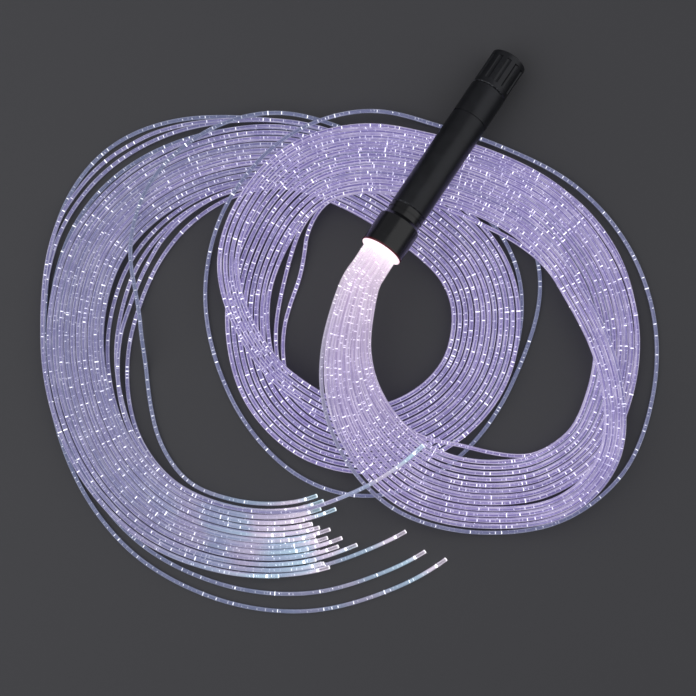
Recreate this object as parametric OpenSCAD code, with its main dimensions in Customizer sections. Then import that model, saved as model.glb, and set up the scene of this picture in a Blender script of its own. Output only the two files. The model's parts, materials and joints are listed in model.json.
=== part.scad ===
// Fibre optic wand: a torch handle with a swivel collar that holds a bundle of side-sparkle fibres.
// Frame: +Z up, +X from the mouth of the torch to its tail, origin under the middle of the torch.
// The wand lies at rest: tail edge on the table, mouth raised, fibres coiled around it.

/* [Torch] */
// Length of the torch from the mouth to the tail, mm
torch_len = 165; // [164:1:172]
// Lean of the torch at rest, mouth up, degrees
tilt = 13.3; // [13.2:0.1:14.5]
// Outer radius of the collar, mm
collar_r = 15; // [15:0.1:15.6]
// Length of the wide part of the collar, mm
collar_len = 22.5; // [22:0.1:23]
// Outer radius of the barrel, mm
barrel_r = 13; // [12.9:0.05:13.1]
// Wall of the barrel around the battery carrier, mm
barrel_wall = 1.6; // [1.5:0.05:1.7]
// Step from the barrel in to the tail cap, mm
tail_step = 0.2; // [0.1:0.05:0.4]
// Length of the seat for a belt clip, mm
clip_seat_len = 24; // [23:0.5:26]
// Chamfer on the outer edges, mm
edge = 0.6; // [0.4:0.1:0.8]

/* [Swivel] */
// Wall of the spigot around the lens, mm
spigot_wall = 1.4; // [1.3:0.05:1.5]
// Running gap of the spigot, the tail cap and the button, mm
run_gap = 0.08; // [0.05:0.01:0.1]
// Wall of the bush, mm
bush_wall = 1.35; // [1.2:0.05:1.4]

/* [Light] */
// Radius of the lens, LED board and spacer seat, mm
lens_r = 8.2; // [8:0.05:8.3]
// Radius of the LED dome, mm
led_dome_r = 1.3; // [1:0.1:1.6]

/* [Power] */
// Wall of the carrier outside each cell, mm
cell_skin = 0.25; // [0.2:0.01:0.4]
// Length of one cell, mm
cell_len = 44.5; // [44:0.1:44.6]
// Radius of the button, mm
button_r = 6.2; // [6:0.1:6.6]
// Travel of the button, mm
button_travel = 1.5; // [1:0.1:1.6]
// Travel of the tail cap along its thread, mm
cap_travel = 9; // [8:0.5:9]

/* [Fibres] */
// Diameter of one strand, mm
strand_d = 3; // [2.8:0.05:3]
// Spacing of the strands where they leave the mouth, mm
mouth_pitch = 3.58; // [3.56:0.01:3.62]
// Least spacing of strands side by side in the coil, mm
lane_pitch = 3.7; // [3.68:0.01:3.74]
// Height of one layer of the coil, mm
layer_pitch = 3.65; // [3.63:0.01:3.67]

/* [Hidden] */
$fn = 64;
seat_gap = 0.05;
slide_gap = 0.2;
face_gap = 0.3;
eps = 1;
tail_r = barrel_r - tail_step;
bore_r = barrel_r - barrel_wall;
spigot_r = lens_r + spigot_wall;

// Where the mouth of the torch is when the tail edge stands on the table
mouth_x = -(torch_len * cos(tilt) + (tail_r - collar_r) * sin(tilt)) / 2;
mouth_z = (torch_len - edge) * sin(tilt) + tail_r * cos(tilt);

// Stations along the torch, from the mouth
face_s = 5;
ferrule_end = 17;
pocket_end = 21;
collar_end = 33;
neck_start = collar_len + 3;
lip_start = 29.5;
shoulder_s = collar_end + 0.6;
spigot_start = 18.2;
lens_lip = 19;
pill_s = 36;
tail_len = 28;
nose_len = cap_travel;
switch_depth = 19.6;
button_depth = 5.8;
barrel_end = torch_len - tail_len;
clip_seat_s = barrel_end - edge - clip_seat_len;
cap_start = barrel_end + 0.4;
cap_nose = barrel_end - nose_len;
board_stop = torch_len - switch_depth;
button_wall = torch_len - button_depth;

// Radii that follow from the fits
bush_bore_r = spigot_r + run_gap;
bush_r = bush_bore_r + bush_wall;
flange_r = bush_r + 1.2;
bundle_r = 3 * mouth_pitch + strand_d / 2;
potting_r = bundle_r + 0.15;
ferrule_r = potting_r + 0.95;
neck_r = bush_r + 1.5;
lip_r = barrel_r;
clip_groove_r = spigot_r - 0.7;
carrier_r = bore_r - face_gap;
nose_r = bore_r - run_gap;
seal_minor = 0.75;
seal_r = bore_r - seat_gap - seal_minor;
seal_floor = 1.25;
cap_bore_r = seal_r - seal_minor - seal_floor;
well_r = cap_bore_r - 0.8;

// Lens, board and pill stations
ring_minor = 0.6;
lens_s = lens_lip + 2 * ring_minor;
lens_back = lens_s + 7.8;
board_s = lens_back + 1;
board_t = 1.2;
pill_nose = board_s + board_t;
pill_end = 44;
cup_end = 48;
cup_r = bore_r - 1.4;

// Battery carrier stations, forward from the tail cap's nose
carrier_room = 2.7;
contact_t = 0.4;
pad_t = 0.7;
disc_t = 3;
rail_len = cell_len + 2 * pad_t;
carrier_back = cap_nose - carrier_room;
carrier_s = carrier_back - 2 * disc_t - rail_len;

// Cells: as large as the carrier takes, three in a ring
cell_gap = 0.07;
cell_r = (carrier_r - cell_skin - 2 * cell_gap / sqrt(3)) / (1 + 2 / sqrt(3));
cell_ring = 2 * (cell_r + cell_gap) / sqrt(3);
rail_r = 1.3;
rail_ring = carrier_r - rail_r - 0.2;

// Colour control board, between the pill and the carrier
plunger_tip = carrier_s - contact_t;
plunger_reach = 4;
plunger_seat = 5;
circuit_end = plunger_tip - plunger_reach;
circuit_w = 2 * (cup_r - 0.5);
circuit_t = 1.4;

// Switch and button stations
board_front = board_stop - 1.4;
retainer_s = board_front - 3;
stem_room = 3.4;
flange_back = button_wall - 0.2;
flange_front = flange_back - 1.6;
switch_end = flange_front - stem_room - button_travel;
button_top = torch_len + 1.2;
stem_tip = switch_end - 1;

// Route of the bundle: plan x and y, height of the middle layer, bank in degrees
exit_len = 12;
start_pt = [mouth_x + face_s * cos(tilt), 0, mouth_z - face_s * sin(tilt), 0];
exit_pt = [mouth_x - exit_len * cos(tilt), 0, mouth_z + exit_len * sin(tilt), 0];
table_z = 5.2;
route = [
  start_pt, exit_pt,
  [-111, -2, 48, 0], [-148, -18, 42, 0], [-174, -42, 33.5, 0], [-190, -75, 25.5, 0], [-193, -112, 20.5, 0],
  [-179, -151, 8.5, 0], [-150, -185, table_z, 0], [-111, -198, table_z, 0], [-70, -186, table_z, 0],
  [-34, -160, table_z, 0], [-8, -122, 6, 0], [4, -78, 12, 6], [0, -33, 15, 13], [-13, 8, 14.6, 14],
  [-32, 46, 18, 3], [-62, 72, 17.5, 0], [-102, 80, 15, -9], [-142, 71, 6, 0], [-175, 47, table_z, 0],
  [-199, 11, table_z, 0], [-204, -33, table_z, 0], [-187, -71, table_z, 0], [-151, -95, table_z, 0],
  [-111, -100, table_z, 0], [-73, -84, table_z, 0], [-50, -55, table_z, 0], [-42, -12, table_z, 0],
  [-44, 44, table_z, 0], [-59, 95, table_z, 0], [-93, 135, table_z, 0], [-138, 160, table_z, 0],
  [-187, 166, table_z, 0], [-236, 150, table_z, 0], [-276, 118, table_z, 0], [-304, 75, table_z, 0],
  [-314, 26, table_z, 0], [-303, -23, table_z, 0], [-277, -64, table_z, 0], [-239, -93, table_z, 0],
  [-203, -111, table_z, 0], [-167, -121, table_z, 0]
];

// Places of the strands in the mouth, by layer: steps across and rows up
places = [
  [[-2.5, -1], [-2, -2], [-1.5, -1], [-1.5, -3], [-1, -2], [-0.5, -1],
   [-0.5, -3], [0, -2], [0.5, -3], [1, -2], [1.5, -3], [2, -2]],
  [[-2.5, 1], [-2, 0], [-1.5, 1], [-1, 0], [-0.5, 1], [0, 0],
   [0.5, -1], [1, 0], [1.5, -1], [2, 0], [2.5, -1], [3, 0]],
  [[-2, 2], [-1.5, 3], [-1, 2], [-0.5, 3], [0, 2], [0.5, 3],
   [0.5, 1], [1, 2], [1.5, 3], [1.5, 1], [2, 2], [2.5, 1]]
];
lone_place = [-3, 0];
lone_group = 3;
rider = [2, 1, 3];

// Groups change places over the route: station where each lifts over the others
hops = [7, 17];
lone_hop = 29;
hop_lift = 11;
lane_room = 1;
group_gap = 0.5;
group_w = 3 * lane_pitch + lane_room;
slot_w = group_w + lane_pitch + group_gap;
lone_slot = 1.5 * slot_w + 0.5 * lane_pitch + 1;

// Strays of the bottom layer: group, side, lanes that leave, start, end, mm
strays = [
  [3, -1, 4, 8.5, 15, 7], [3, -1, 4, 13, 18, 7], [3, -1, 4, 20.5, 25, 12], [3, -1, 4, 25, 29, 18],
  [3, 1, 4, 31.5, 37.5, 20], [1, -1, 1, 10.5, 14, 3], [2, -1, 1, 25, 29.5, 7], [2, -1, 1, 29.8, 34, 14],
  [2, -1, 2, 30, 34.5, 5], [2, -1, 1, 34, 46, 9], [2, -1, 2, 34.5, 46, 15], [2, -1, 3, 35, 46, 7],
  [1, 1, 1, 29.5, 37, 14], [1, 1, 2, 30, 36, 6], [2, 1, 1, 4.8, 8, 5], [2, 1, 2, 5, 8.5, 4],
  [0, 1, 1, 12, 15.5, 4], [0, 1, 1, 16.5, 22, 14], [0, 1, 2, 17, 20.5, 4]
];

function sum(list, i = 0) = i >= len(list) ? 0 : list[i] + sum(list, i + 1);
function smooth(x) = let (c = max(0, min(1, x))) c * c * (3 - 2 * c);
function bump(t, a, b) = smooth(2 * (t - a) / (b - a)) * smooth(2 * (b - t) / (b - a));
function part_of(x) = x - floor(x);
function unit(v) = v / norm(v);
function plan_of(p) = [p[0], p[1], p[2]];

// Direction of the route at a station, from its neighbours
last_station = len(route) - 1;
function heading(i) = unit(plan_of(route[min(i + 1, last_station)]) - plan_of(route[max(i - 1, 0)]));
function left_of(i) = let (h = heading(i)) unit([-h[1], h[0], 0]);
function above(i) = cross(heading(i), left_of(i));

// Sideways place of a group: the hop of group k takes it from the outside to the inside
function slot_at(group, t) = group == lone_group
  ? lone_slot * (2 * smooth((t - lone_hop - 1) / 4) - 1)
  : slot_w * (group - 1 + sum([for (k = [0:1])
      (((group - k + 2) % 3) - ((group - k + 3) % 3)) * smooth((t - hops[k] - 1) / 4)]));
function hop_of(group) = group == lone_group ? lone_hop : hops[group];
function lift_at(group, t) = group == 2 ? 0
  : hop_lift * smooth(t - hop_of(group)) * smooth(hop_of(group) + 6 - t);

// Gaps between the four lanes of a group share a fixed room and drift along the route
function share(layer, group, k, t) = 1 + 0.45 * smooth((t - 4.2) / 2.3)
  * sin(360 * (t / (6 + k + 0.7 * layer) + 0.37 * k + 0.23 * layer + 0.41 * group));
function lane_at(layer, group, place, t) = let (shares = [for (k = [0:2]) share(layer, group, k, t)])
  sum([for (k = [0:1:place - 1]) lane_pitch + lane_room * shares[k] / sum(shares)]) - group_w / 2;
function stray_at(group, place, t) = sum([for (s = strays)
  s[0] == group && (s[1] < 0 ? place < s[2] : place >= 4 - s[2]) ? s[1] * s[5] * bump(t, s[3], s[4]) : 0]);

// Strand: steps across, rows up, layer, group, place in the group
strands = concat(
  [for (layer = [0:2]) for (k = [0:11])
    [places[layer][k][0], places[layer][k][1], layer, floor(k / 4), k % 4]],
  [[lone_place[0], lone_place[1], 0, lone_group, 0]]
);
function is_rider(s) = [s[2], s[3], s[4]] == rider;
function end_of(s) = is_rider(s) ? 41.7
  : s[2] == 0 && s[3] == 2 && s[4] < 3 ? [40.8, 40.6, 40.5][s[4]]
  : 39.25 + 5 * pow(part_of(0.618 * (s[4] + 1) + 0.29 * s[2] + 0.41 * s[3]) - 0.5, 3);

// Offset of a strand from the route, sideways and up
function across(s, t) = let (
  from = s[0] * mouth_pitch,
  lane = slot_at(s[3], t) + (s[3] == lone_group ? 0 : lane_at(s[2], s[3], s[4], t)),
  to = lane + (s[2] == 0 ? stray_at(s[3], s[4], t) : 0)
) from + (to - from) * smooth((t - 1) / 5);
function upward(s, t) = let (
  tight = mouth_pitch * sqrt(3) / 2,
  from = s[1] * (tight + (mouth_pitch - tight) * smooth(t - 1)),
  ride = is_rider(s) ? 28 * smooth((t - 38.2) / 2) : 0,
  to = (s[2] - 1) * layer_pitch + lift_at(s[3], t) + ride
) from + (to - from) * smooth((t - 4.2) / 2.3);
function middle(s, i) = let (
  bank = route[i][3],
  side = left_of(i) * cos(bank) + above(i) * sin(bank),
  up = above(i) * cos(bank) - left_of(i) * sin(bank)
) plan_of(route[i]) + side * across(s, i) + up * upward(s, i);

// Middle line of a strand: one point at each station and the cut end
function line_of(s) = let (
  stop = end_of(s),
  whole = floor(stop),
  back = middle(s, whole),
  ahead = middle(s, whole + 1)
) concat([for (i = [0:whole]) middle(s, i)], [back + (ahead - back) * (stop - whole)]);
lines = [for (s = strands) line_of(s)];

// Least gap between strands, measured on points four to a step, near stations only
fine = 4;
function point_on(line, i) = let (k = floor(i / fine), f = i / fine - k)
  k >= len(line) - 1 ? line[len(line) - 1] : line[k] + (line[k + 1] - line[k]) * f;
function least_gap(step) = let (
  dots = [for (line = lines) [for (i = [0:(len(line) - 1) * fine]) point_on(line, i)]]
) min([for (a = [0:len(dots) - 2]) for (b = [a + 1:len(dots) - 1])
  for (i = [0:step:len(dots[a]) - 1]) for (j = [max(0, i - 3):min(len(dots[b]) - 1, i + 3)])
    norm(dots[a][i] - dots[b][j])]) - strand_d;
function least_crossing() = min([for (a = [0:len(lines) - 1]) for (b = [0:len(lines) - 1])
  for (i = [2:len(lines[a]) - 10]) for (j = [i + 8:len(lines[b]) - 1])
    if (norm(lines[a][i] - lines[b][j]) < 25)
      for (f = [0:0.25:1]) for (g = [0:0.25:1])
        norm(point_on(lines[a], (i + f - 0.5) * fine) - point_on(lines[b], (j + g - 0.5) * fine))]) - strand_d;

// Places children along the torch: local z runs from the mouth to the tail, local x is the underside
module torch() translate([mouth_x, 0, mouth_z]) rotate([0, 90 + tilt, 0]) children();
module rod(r, a, b) translate([0, 0, a]) cylinder(r = r, h = b - a);
module cone(ra, rb, a, b) translate([0, 0, a]) cylinder(r1 = ra, r2 = rb, h = b - a);
module tube(r, hole, a, b) difference() {
  rod(r, a, b);
  rod(hole, a - eps, b + eps);
}
module hoop(major, minor, s) translate([0, 0, s]) rotate_extrude() translate([major, 0]) circle(r = minor);
module around(n, start = 0) for (k = [0:n - 1]) rotate([0, 0, start + 360 * k / n]) children();
module slab(w, d, a, b) translate([-w / 2, -d / 2, a]) cube([w, d, b - a]);

// One strand as an unbroken three-sided tube around its middle line
module strand(n) {
  line = lines[n];
  last = len(line) - 1;
  spokes = [-90, 30, 150];
  points = [for (i = [0:last]) for (a = spokes)
    line[i] + (left_of(i) * cos(a) + above(i) * sin(a)) * strand_d / 2];
  sides = [for (i = [0:last - 1]) for (k = [0:2]) let (a = 3 * i + k, b = 3 * i + (k + 1) % 3)
    each [[a, a + 3, b + 3], [a, b + 3, b]]];
  polyhedron(points, concat([[0, 1, 2]], sides, [[3 * last + 2, 3 * last + 1, 3 * last]]));
}
module fibre_layer(layer) for (n = [0:len(strands) - 1]) if (strands[n][2] == layer) strand(n);

// Collar that grips the fibre bundle
grub_s = 11;
grub_r = 1.5;
module grub_place() for (a = [-45, 45]) rotate([0, 0, a]) translate([0, 0, grub_s]) rotate([0, 90, 0]) children();
module fibre_collar() color("#111114") torch() difference() {
  union() {
    cone(collar_r - edge, collar_r, 0, edge);
    rod(collar_r, edge, collar_len);
    cone(collar_r, neck_r, collar_len, neck_start);
    rod(neck_r, neck_start, lip_start);
    rod(lip_r, lip_start, collar_end);
  }
  rod(ferrule_r + 0.35, -eps, face_s);
  rod(ferrule_r + seat_gap, -eps, ferrule_end);
  rod(flange_r + seat_gap, -eps, pocket_end);
  rod(bush_r + seat_gap, -eps, collar_end + eps);
  grub_place() cylinder(r = grub_r + seat_gap, h = collar_r + eps);
}

// Steel ferrule around the potted fibres
module ferrule() color("#B9BCC2") torch() tube(ferrule_r, potting_r + seat_gap, face_s, ferrule_end);

// Clear resin that holds the fibre ends
module potted_end() color("#E6E2F4") torch() rod(potting_r, face_s, ferrule_end);

// Two grub screws with hex sockets, under the collar
module grub_screws() color("#5A5D63") torch() grub_place() difference() {
  translate([0, 0, ferrule_r + seat_gap]) cylinder(r = grub_r, h = collar_r - ferrule_r - 0.25);
  translate([0, 0, collar_r - 0.9]) cylinder(r = 0.75, h = 2, $fn = 6);
}

// Flanged bush that the barrel's spigot turns in
module swivel_bush() color("#B08D57") torch() difference() {
  union() {
    rod(flange_r, pocket_end - 1, pocket_end);
    rod(bush_r, pocket_end - 1, collar_end - 0.2);
  }
  rod(bush_bore_r, pocket_end - 2, collar_end);
}

// Barrel with its spigot, lens lip, battery bore and a seat for a belt clip
module barrel() color("#141416") torch() difference() {
  union() {
    rod(spigot_r, spigot_start, shoulder_s);
    cone(barrel_r - edge, barrel_r, shoulder_s, shoulder_s + edge);
    rod(barrel_r, shoulder_s + edge, barrel_end - edge);
    cone(barrel_r, barrel_r - edge, barrel_end - edge, barrel_end);
  }
  rod(lens_r - 1, spigot_start - eps, lens_lip + eps);
  rod(lens_r, lens_lip, pill_s + eps);
  rod(bore_r, pill_s, barrel_end + eps);
  tube(spigot_r + eps, clip_groove_r, lens_lip - 0.1, lens_lip + 0.8);
  tube(barrel_r + eps, barrel_r - 0.5, clip_seat_s - 1.2, clip_seat_s);
}

// Open ring that keeps the collar on the spigot
module circlip() color("#8E9196") torch() difference() {
  tube(flange_r - 1.3, clip_groove_r + 0.02, lens_lip - 0.05, lens_lip + 0.75);
  translate([-flange_r - 1, -2, lens_lip - 2]) cube([flange_r, 4, 4]);
}

// Nylon washer between the collar and the barrel's shoulder
module thrust_washer() color("#26262A") torch()
  tube(neck_r - 0.4, spigot_r + seat_gap, shoulder_s - 0.3, shoulder_s);

// Seal in front of the lens
module lens_o_ring() color("#1E1E20") torch() hoop(lens_r - 0.05 - ring_minor, ring_minor, lens_lip + ring_minor);

// Lens that throws the light onto the fibre ends
module tir_lens() color("#DDE6EE") torch() difference() {
  union() {
    rod(lens_r - seat_gap, lens_s, lens_s + 1.5);
    cone(lens_r - 1.4, 4, lens_s + 1.5, lens_back);
  }
  rod(2.6, lens_back - 2.5, lens_back + eps);
}

// Sleeve that presses the lens forward
module lens_spacer() color("#2A2A2C") torch() tube(lens_r - seat_gap, lens_r - 1.2, lens_s + 1.5, board_s);

// LED package with its dome, facing the mouth
module led_emitter() color("#F2EFD8") torch() {
  slab(3.4, 3.4, board_s - 0.8, board_s);
  translate([0, 0, board_s - 0.8]) intersection() {
    sphere(r = led_dome_r);
    translate([-3, -3, -3]) cube([6, 6, 3]);
  }
}

// Round board under the LED
wire_ring = 5;
wire_r = 0.9;
module led_board() color("#ECEFF0") torch() difference() {
  rod(lens_r - seat_gap, board_s, pill_nose);
  around(2) translate([wire_ring, 0, board_s - eps]) cylinder(r = wire_r, h = 4);
}

// Brass pill that carries the heat and the circuit board
module led_pill() color("#C2A45A") torch() difference() {
  union() {
    rod(lens_r - seat_gap, pill_nose, pill_s);
    rod(bore_r - seat_gap, pill_s, cup_end);
  }
  rod(cup_r, pill_end, cup_end + eps);
  around(2) translate([wire_ring, 0, pill_nose - eps]) cylinder(r = wire_r, h = 20);
}

// Colour control board that stands along the barrel, with chips beside the spring pin
chip_mid = (pill_end + circuit_end) / 2;
chip_x = circuit_w / 2 - 3.5;
module chip(x, side, w, h, l) translate([x, side * (circuit_t + h) / 2, 0])
  slab(w, h, chip_mid - l / 2, chip_mid + l / 2);
module controller_board() color("#1F5C3A") torch() difference() {
  union() {
    slab(circuit_w, circuit_t, pill_end, circuit_end);
    chip(-chip_x, 1, 5.6, 2, 6);
    chip(chip_x, 1, 4, 1.6, 4);
    chip(-chip_x, -1, 5, 1.8, 6);
  }
  slab(5, 4, circuit_end - plunger_seat, circuit_end + eps);
}

// Spring pin that meets the battery carrier
module contact_plunger() color("#D0B060") torch() {
  rod(2.5, circuit_end - plunger_seat, circuit_end + 1);
  rod(1.4, circuit_end + 1, plunger_tip);
}

// Holder for three cells
module battery_carrier() color("#26262A") torch() {
  rod(carrier_r, carrier_s, carrier_s + disc_t);
  rod(carrier_r, carrier_back - disc_t, carrier_back);
  around(3, 60) translate([rail_ring, 0, 0]) rod(rail_r, carrier_s + disc_t, carrier_back - disc_t);
}

// Contacts on both ends of the carrier and at every cell
module carrier_contacts() color("#C9CCD0") torch() {
  rod(2.6, plunger_tip, carrier_s);
  rod(3.2, carrier_back, carrier_back + contact_t);
  around(3) translate([cell_ring, 0, 0]) {
    rod(3, carrier_s + disc_t, carrier_s + disc_t + pad_t);
    rod(3, carrier_back - disc_t - pad_t, carrier_back - disc_t);
  }
}

// Three cells side by side
module aaa_cells() color("#3A6EA5") torch()
  around(3) translate([cell_ring, 0, 0]) rod(cell_r, carrier_s + disc_t + pad_t, carrier_back - disc_t - pad_t);

// Tail cap with grip flutes, O-ring groove and the button's well
seal_s = barrel_end - nose_len / 3;
module tail_cap() color("#131315") torch() difference() {
  union() {
    rod(nose_r, cap_nose, cap_start);
    cone(tail_r - edge, tail_r, cap_start, cap_start + edge);
    rod(tail_r, cap_start + edge, torch_len - edge);
    cone(tail_r, tail_r - edge, torch_len - edge, torch_len);
  }
  rod(cap_bore_r, cap_nose - eps, board_stop);
  rod(well_r, cap_nose - eps, button_wall);
  rod(button_r + run_gap, cap_nose - eps, torch_len + eps);
  tube(nose_r + eps, seal_r - seal_minor, seal_s - 0.85, seal_s + 0.85);
  around(12) translate([tail_r + 1.6, 0, 0]) rod(2.4, cap_start + 4, torch_len - 4);
}

// Seal between the cap and the barrel
module rear_o_ring() color("#1E1E20") torch() hoop(seal_r, seal_minor, seal_s);

// Ring that clamps the switch board in the cap
module switch_retainer() color("#B9BCC2") torch() tube(cap_bore_r - seat_gap, 3.6, retainer_s, board_front);

// Board that carries the switch
module switch_board() color("#1F5C3A") torch() rod(cap_bore_r - seat_gap, board_front, board_stop);

// Push switch with a socket for the stem
module switch_body() color("#202024") torch() difference() {
  slab(8, 8, board_stop, switch_end);
  rod(2.1, switch_end - 3.5, switch_end + eps);
}

// Spring pin from the switch to the carrier
module tail_contact() color("#D0B060") torch() {
  rod(1.4, carrier_back + contact_t + face_gap, board_front - 8);
  rod(2.8, board_front - 8, board_front);
}

// Rubber button in the tail
module power_button() color("#2B2B2E") torch() {
  rod(well_r - slide_gap, flange_front, flange_back);
  rod(button_r, flange_back, button_top - 0.8);
  cone(button_r, button_r - 0.8, button_top - 0.8, button_top);
}

// Stem from the button into the switch
module switch_plunger() color("#E4E1D6") torch() rod(1.8, stem_tip, flange_front);

// Fibre strands by layer
module fibres_lower() color("#A9A0D0") fibre_layer(0);
module fibres_middle() color("#A9A0D0") fibre_layer(1);
module fibres_upper() color("#A9A0D0") fibre_layer(2);

union() {  // fibres_lower
  echo(least_gap_side_by_side_mm = least_gap(2));
  echo(least_gap_at_crossings_mm = least_crossing());
}

fibre_collar();
ferrule();
potted_end();
grub_screws();
swivel_bush();
fibres_lower();
fibres_middle();
fibres_upper();
barrel();
circlip();
thrust_washer();
lens_o_ring();
tir_lens();
lens_spacer();
led_emitter();
led_board();
led_pill();
controller_board();
contact_plunger();
battery_carrier();
carrier_contacts();
aaa_cells();
tail_cap();
rear_o_ring();
switch_retainer();
switch_board();
switch_body();
tail_contact();
power_button();
switch_plunger();
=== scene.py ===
"""Fibre optic wand: glowing strands, finishes and a plain studio around its construction frame."""

import json
import math
from collections import namedtuple

import bpy
import numpy as np
from bpy.props import FloatProperty, FloatVectorProperty, IntProperty, PointerProperty
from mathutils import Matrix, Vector


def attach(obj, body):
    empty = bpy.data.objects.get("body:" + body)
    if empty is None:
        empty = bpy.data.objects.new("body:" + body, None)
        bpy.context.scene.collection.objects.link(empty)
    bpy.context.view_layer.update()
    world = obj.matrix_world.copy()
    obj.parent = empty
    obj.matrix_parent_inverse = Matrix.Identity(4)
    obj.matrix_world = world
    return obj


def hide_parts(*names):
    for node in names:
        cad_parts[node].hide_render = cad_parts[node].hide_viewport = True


bl_info = {
    "name": "Fibre optic wand",
    "version": (1, 0, 0),
    "blender": (4, 5, 0),
    "location": "3D View > Sidebar > Wand",
    "description": "Builds the wand's glowing strands, its finishes and a plain studio",
    "category": "Object",
}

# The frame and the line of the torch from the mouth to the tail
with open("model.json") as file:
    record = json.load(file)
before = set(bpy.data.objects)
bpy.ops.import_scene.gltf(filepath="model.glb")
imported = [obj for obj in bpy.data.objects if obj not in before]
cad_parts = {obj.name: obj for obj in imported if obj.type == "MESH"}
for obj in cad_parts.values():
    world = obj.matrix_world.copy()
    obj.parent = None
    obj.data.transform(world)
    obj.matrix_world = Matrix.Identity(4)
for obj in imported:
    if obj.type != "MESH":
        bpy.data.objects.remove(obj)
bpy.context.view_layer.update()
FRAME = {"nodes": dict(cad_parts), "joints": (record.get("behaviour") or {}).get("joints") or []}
SWIVEL = FRAME["joints"][0]
AXIS = Vector(SWIVEL["axis"]).normalized()
SWIVEL_STATION = 0.027
MOUTH = Vector(SWIVEL["pos_m"]) - SWIVEL_STATION * AXIS

# Strands: sizes in metres, stations along the route in steps from point to point
STRAND_D = 0.003
MOUTH_PITCH = 0.00358
LANE_PITCH = 0.0037
LAYER_PITCH = 0.00365
FACE_STATION = 0.005
EXIT_LENGTH = 0.012
TABLE_Z = 0.0052
LANE_ROOM = 0.001
GROUP_GAP = 0.0005
GROUP_W = 3 * LANE_PITCH + LANE_ROOM
SLOT_W = GROUP_W + LANE_PITCH + GROUP_GAP
LONE_SLOT = 1.5 * SLOT_W + 0.5 * LANE_PITCH + 0.001
STACK_Z = STRAND_D / 2 + LAYER_PITCH
HOPS = (7, 17)
LONE_HOP = 29
HOP_LIFT = 0.011
HOP_RUN = 6
SHIFT_RUN = 4
LONE_GROUP = 3
FAN_START = 1
FAN_RUN = 5
LAY_START = 4.2
LAY_RUN = 2.3
GAP_DRIFT = 0.45
RIDER = (2, 1, 3)
RIDER_LIFT = 0.028
RIDER_START = 38.2
RIDER_RUN = 2
RIDER_END = 41.7
STRAY_ENDS = (40.8, 40.6, 40.5)
MEAN_END = 39.25
END_SPREAD = 5
LINE_STEPS = 16

# Route of the bundle after its straight exit: x, y, height of the middle layer, bank in degrees
ROUTE_POINTS = [
    (-0.111, -0.002, 0.048, 0), (-0.148, -0.018, 0.042, 0), (-0.174, -0.042, 0.0335, 0),
    (-0.190, -0.075, 0.0255, 0), (-0.193, -0.112, 0.0205, 0), (-0.179, -0.151, 0.0085, 0),
    (-0.150, -0.185, TABLE_Z, 0), (-0.111, -0.198, TABLE_Z, 0), (-0.070, -0.186, TABLE_Z, 0),
    (-0.034, -0.160, TABLE_Z, 0), (-0.008, -0.122, 0.006, 0), (0.004, -0.078, 0.012, 6),
    (0.000, -0.033, 0.015, 13), (-0.013, 0.008, 0.0146, 14), (-0.032, 0.046, 0.018, 3),
    (-0.062, 0.072, 0.0175, 0), (-0.102, 0.080, 0.015, -9), (-0.142, 0.071, 0.006, 0),
    (-0.175, 0.047, TABLE_Z, 0), (-0.199, 0.011, TABLE_Z, 0), (-0.204, -0.033, TABLE_Z, 0),
    (-0.187, -0.071, TABLE_Z, 0), (-0.151, -0.095, TABLE_Z, 0), (-0.111, -0.100, TABLE_Z, 0),
    (-0.073, -0.084, TABLE_Z, 0), (-0.050, -0.055, TABLE_Z, 0), (-0.042, -0.012, TABLE_Z, 0),
    (-0.044, 0.044, TABLE_Z, 0), (-0.059, 0.095, TABLE_Z, 0), (-0.093, 0.135, TABLE_Z, 0),
    (-0.138, 0.160, TABLE_Z, 0), (-0.187, 0.166, TABLE_Z, 0), (-0.236, 0.150, TABLE_Z, 0),
    (-0.276, 0.118, TABLE_Z, 0), (-0.304, 0.075, TABLE_Z, 0), (-0.314, 0.026, TABLE_Z, 0),
    (-0.303, -0.023, TABLE_Z, 0), (-0.277, -0.064, TABLE_Z, 0), (-0.239, -0.093, TABLE_Z, 0),
    (-0.203, -0.111, TABLE_Z, 0), (-0.167, -0.121, TABLE_Z, 0),
]

# Places of the strands in the mouth, by layer: steps across and rows up
PLACES = [
    [(-2.5, -1), (-2, -2), (-1.5, -1), (-1.5, -3), (-1, -2), (-0.5, -1),
     (-0.5, -3), (0, -2), (0.5, -3), (1, -2), (1.5, -3), (2, -2)],
    [(-2.5, 1), (-2, 0), (-1.5, 1), (-1, 0), (-0.5, 1), (0, 0),
     (0.5, -1), (1, 0), (1.5, -1), (2, 0), (2.5, -1), (3, 0)],
    [(-2, 2), (-1.5, 3), (-1, 2), (-0.5, 3), (0, 2), (0.5, 3),
     (0.5, 1), (1, 2), (1.5, 3), (1.5, 1), (2, 2), (2.5, 1)],
]
LONE_PLACE = (-3, 0)

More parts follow.
